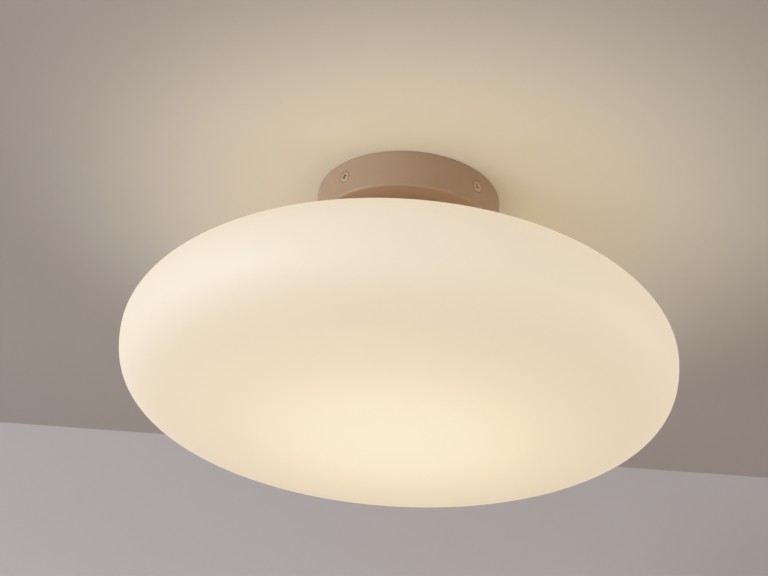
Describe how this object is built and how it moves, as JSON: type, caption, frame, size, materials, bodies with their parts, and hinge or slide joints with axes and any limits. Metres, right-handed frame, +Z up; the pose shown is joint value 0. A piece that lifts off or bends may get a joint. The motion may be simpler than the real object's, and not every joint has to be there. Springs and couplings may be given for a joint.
{
  "type": "ceiling light",
  "caption": "Round ceiling light: a small painted drum canopy carries a wide flattened opal glass globe that unscrews around a screw-in bulb.",
  "frame": {"origin": "centre of the ceiling bracket's upper face, in the plane of the ceiling, on the light's axis", "axes": "+Z up, out of the ceiling face; the light hangs below along -Z; the canopy screws lie at 45, 135, 225 and 315 degrees; the bridge lies along X"},
  "size_m": [0.345, 0.345, 0.1715],
  "materials": {
    "bracket_zinc": "bright zinc plated sheet steel",
    "bushing_rubber": "matt black rubber",
    "block_plastic": "off-white polyamide",
    "brass": "plain brass",
    "steel_screws": "zinc plated steel",
    "tinned_copper": "tinned copper",
    "taupe_paint": "fine satin powder coat, warm taupe",
    "nickel_screws": "satin nickel",
    "holder_plastic": "white heat resistant thermoplastic",
    "holder_ceramic": "unglazed steatite",
    "brown_insulation": "brown insulation",
    "blue_insulation": "blue insulation",
    "green_insulation": "green and yellow insulation",
    "opal_glass": "satin opal glass, lit from inside",
    "seal_silicone": "translucent silicone",
    "bulb_solder": "solder",
    "bulb_vitrite": "black glass insulator",
    "bulb_nickel": "nickel plated brass",
    "bulb_white": "white plastic",
    "bulb_opal": "opal plastic, lit",
    "led_board_aluminium": "white coated aluminium board",
    "led_chips": "yellow phosphor",
    "driver_board": "green circuit board"
  },
  "bodies": {
    "base": {"ceiling_bracket": "bracket_zinc", "holder_bridge": "bracket_zinc", "cable_bushing": "bushing_rubber", "terminal_block": "block_plastic", "terminal_clamps": "brass", "lampholder_shell": "brass", "centre_contact": "brass", "side_contact": "brass", "terminal_screws": "steel_screws", "block_screws": "steel_screws", "earth_screw": "steel_screws", "earth_washer": "steel_screws", "stud_washers": "steel_screws", "stud_nuts": "steel_screws", "canopy_studs": "steel_screws", "contact_screws": "steel_screws", "holder_nipple": "steel_screws", "nipple_washer": "steel_screws", "nipple_nut": "steel_screws", "earth_rings": "tinned_copper", "canopy": "taupe_paint", "gallery": "taupe_paint", "canopy_screws": "nickel_screws", "lampholder_cap": "holder_plastic", "lampholder_body": "holder_plastic", "lampholder_core": "holder_ceramic", "live_wire": "brown_insulation", "neutral_wire": "blue_insulation", "earth_wire": "green_insulation", "link_wire": "green_insulation"},
    "seal": {"globe_seal": "seal_silicone"},
    "globe": {"glass_globe": "opal_glass"},
    "bulb": {"bulb_tip": "bulb_solder", "bulb_insulator": "bulb_vitrite", "bulb_cap": "bulb_nickel", "bulb_housing": "bulb_white", "bulb_diffuser": "bulb_opal", "bulb_led_board": "led_board_aluminium", "bulb_led_chips": "led_chips", "bulb_driver": "driver_board"}
  },
  "joints": [
    {"name": "globe_lower", "type": "slide", "parent": "base", "child": "seal", "axis": [0, 0, -1], "range_m": [0, 0.0075]},
    {"name": "globe_turn", "type": "hinge", "parent": "seal", "child": "globe", "pos_m": [0, 0, -0.1235], "axis": [0, 0, -1], "range_deg": [0, 540]},
    {"name": "bulb_out", "type": "slide", "parent": "base", "child": "bulb", "axis": [0, 0, -1], "range_m": [0, 0.018]}
  ],
  "couplings": [
    {"joint": "globe_lower", "follows": "globe_turn", "m_per_rad": 0.00079577}
  ]
}
